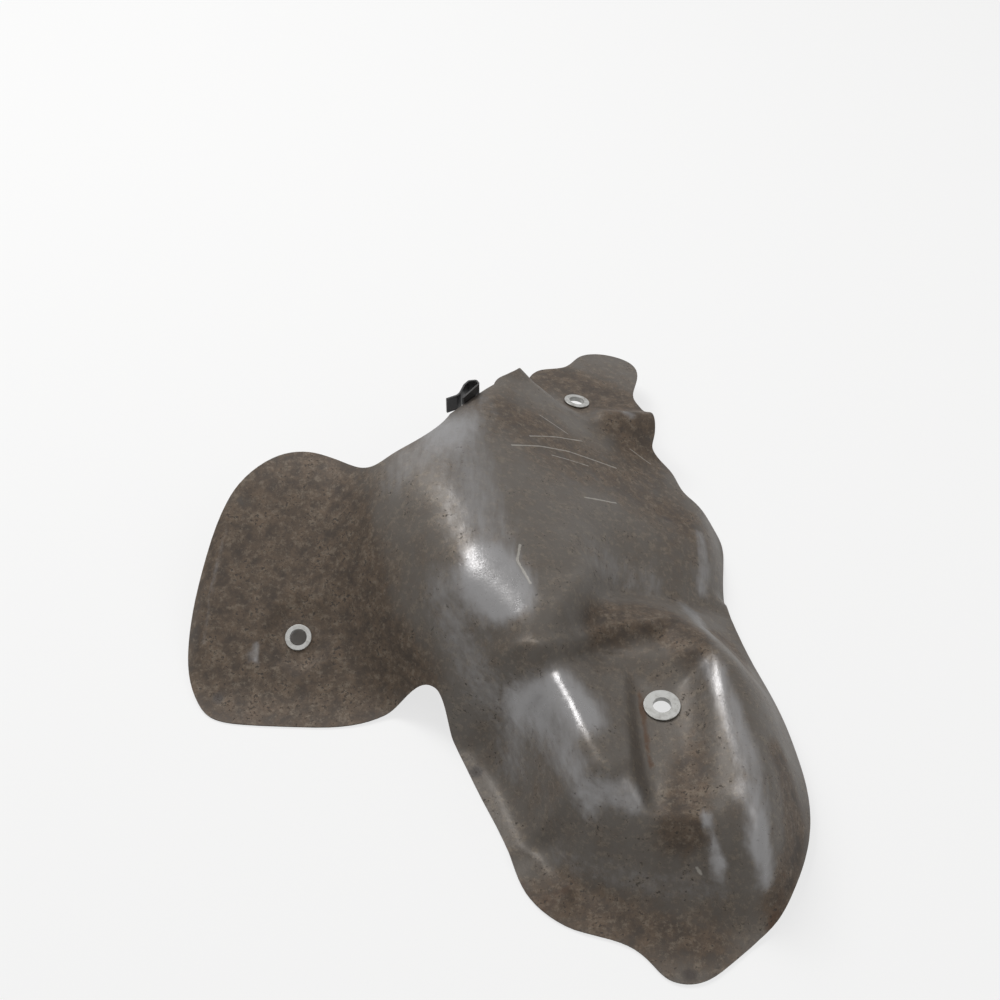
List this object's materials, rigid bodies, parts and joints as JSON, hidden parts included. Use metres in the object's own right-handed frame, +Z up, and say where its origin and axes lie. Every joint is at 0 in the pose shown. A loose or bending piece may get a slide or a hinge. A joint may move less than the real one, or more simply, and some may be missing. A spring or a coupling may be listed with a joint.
{
  "type": "exhaust heat shield",
  "caption": "Pressed sheet metal exhaust heat shield, used and dirty, with a domed body, stepped barrel, side wing, sunk bolt pocket, back tab and a black lead clip.",
  "frame": {"origin": "on the bench, below the middle of the sheet's box, with the shield lying hollow side down", "axes": "+Z up, away from the exhaust; +Y from the front tab to the back tab; +X from the wing to the ridge"},
  "size_m": [0.3135, 0.4206, 0.0877],
  "materials": {
    "pressed_sheet": "dull aluminised steel under a brown-grey film of dirt, rubbed bluish grey on the crests",
    "plated_eyelet": "pale zinc plating, dulled",
    "black_clip": "black coated spring steel"
  },
  "bodies": {
    "root": {"shield_sheet": "pressed_sheet", "eyelet_wing": "plated_eyelet", "eyelet_pocket": "plated_eyelet", "eyelet_tab": "plated_eyelet", "lead_clip": "black_clip"}
  },
  "joints": []
}
